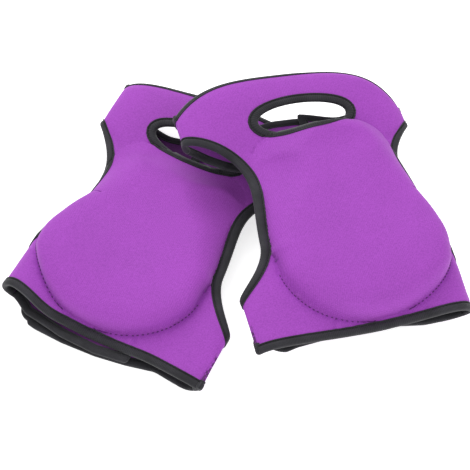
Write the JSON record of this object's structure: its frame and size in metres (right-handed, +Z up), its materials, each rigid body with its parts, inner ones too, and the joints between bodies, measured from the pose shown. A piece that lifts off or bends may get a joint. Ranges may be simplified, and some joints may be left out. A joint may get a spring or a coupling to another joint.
{
  "type": "garden knee pads",
  "caption": "Pair of wrap-around garden knee pads: foam in a stitched pocket, oval hole above it, bound edges and hook-and-loop straps behind.",
  "frame": {"origin": "centre of the footprint, at the surface that the pads lie on", "axes": "+X along the pair to the right, +Y away from the straps lower edges towards the thigh bands, +Z up from the surface"},
  "size_m": [0.4606, 0.3357, 0.0923],
  "materials": {
    "neoprene": "purple nylon jersey bonded to foam rubber, soft matt with a faint sheen",
    "edge_tape": "black folded edge tape, matt, with a dark seam",
    "lining": "black jersey pocket lining",
    "eva_foam": "dark closed-cell foam, matt",
    "comfort_foam": "cream soft foam, matt",
    "thread": "dark purple sewing thread",
    "hook": "black hook tape",
    "loop": "black loop tape"
  },
  "bodies": {
    "left_pad": {"left_body_panel": "neoprene", "left_pocket_lining": "lining", "left_comfort_foam": "comfort_foam", "left_eva_foam": "eva_foam", "left_top_binding": "edge_tape", "left_bottom_binding": "edge_tape", "left_inner_side_binding": "edge_tape", "left_outer_side_binding": "edge_tape", "left_hole_binding": "edge_tape", "left_pocket_stitching_inner": "thread", "left_pocket_stitching_outer": "thread", "left_upper_outer_strap": "neoprene", "left_upper_inner_strap": "neoprene", "left_upper_inner_binding": "edge_tape", "left_upper_loop_patch": "loop", "left_lower_outer_strap": "neoprene", "left_lower_inner_strap": "neoprene", "left_lower_inner_binding": "edge_tape", "left_lower_loop_patch": "loop"},
    "left_upper_tab": {"left_upper_tab": "neoprene", "left_upper_tab_binding": "edge_tape", "left_upper_hook_patch": "hook"},
    "left_lower_tab": {"left_lower_tab": "neoprene", "left_lower_tab_binding": "edge_tape", "left_lower_hook_patch": "hook"},
    "right_pad": {"right_body_panel": "neoprene", "right_pocket_lining": "lining", "right_comfort_foam": "comfort_foam", "right_eva_foam": "eva_foam", "right_top_binding": "edge_tape", "right_bottom_binding": "edge_tape", "right_inner_side_binding": "edge_tape", "right_outer_side_binding": "edge_tape", "right_hole_binding": "edge_tape", "right_pocket_stitching_inner": "thread", "right_pocket_stitching_outer": "thread", "right_upper_outer_strap": "neoprene", "right_upper_inner_strap": "neoprene", "right_upper_inner_binding": "edge_tape", "right_upper_loop_patch": "loop", "right_lower_outer_strap": "neoprene", "right_lower_inner_strap": "neoprene", "right_lower_inner_binding": "edge_tape", "right_lower_loop_patch": "loop"},
    "right_upper_tab": {"right_upper_tab": "neoprene", "right_upper_tab_binding": "edge_tape", "right_upper_hook_patch": "hook"},
    "right_lower_tab": {"right_lower_tab": "neoprene", "right_lower_tab_binding": "edge_tape", "right_lower_hook_patch": "hook"}
  },
  "joints": [
    {"name": "right_pad_lift", "type": "slide", "parent": "left_pad", "child": "right_pad", "axis": [0, 0, 1], "range_m": [0, 0.12]},
    {"name": "left_upper_tab_peel", "type": "hinge", "parent": "left_pad", "child": "left_upper_tab", "pos_m": [-0.05743, 0.09688, 0], "axis": [-0.4384, -0.8988, 0], "range_deg": [0, 90]},
    {"name": "left_lower_tab_peel", "type": "hinge", "parent": "left_pad", "child": "left_lower_tab", "pos_m": [-0.11095, -0.09954, 0], "axis": [-0.4384, -0.8988, 0], "range_deg": [0, 110]},
    {"name": "right_upper_tab_peel", "type": "hinge", "parent": "right_pad", "child": "right_upper_tab", "pos_m": [0.08397, 0.10069, 0.03387], "axis": [-0.286, 0.9534, 0.0959], "range_deg": [0, 90]},
    {"name": "right_lower_tab_peel", "type": "hinge", "parent": "right_pad", "child": "right_lower_tab", "pos_m": [0.1056, -0.10137, 0.02166], "axis": [-0.286, 0.9534, 0.0959], "range_deg": [0, 110]}
  ]
}
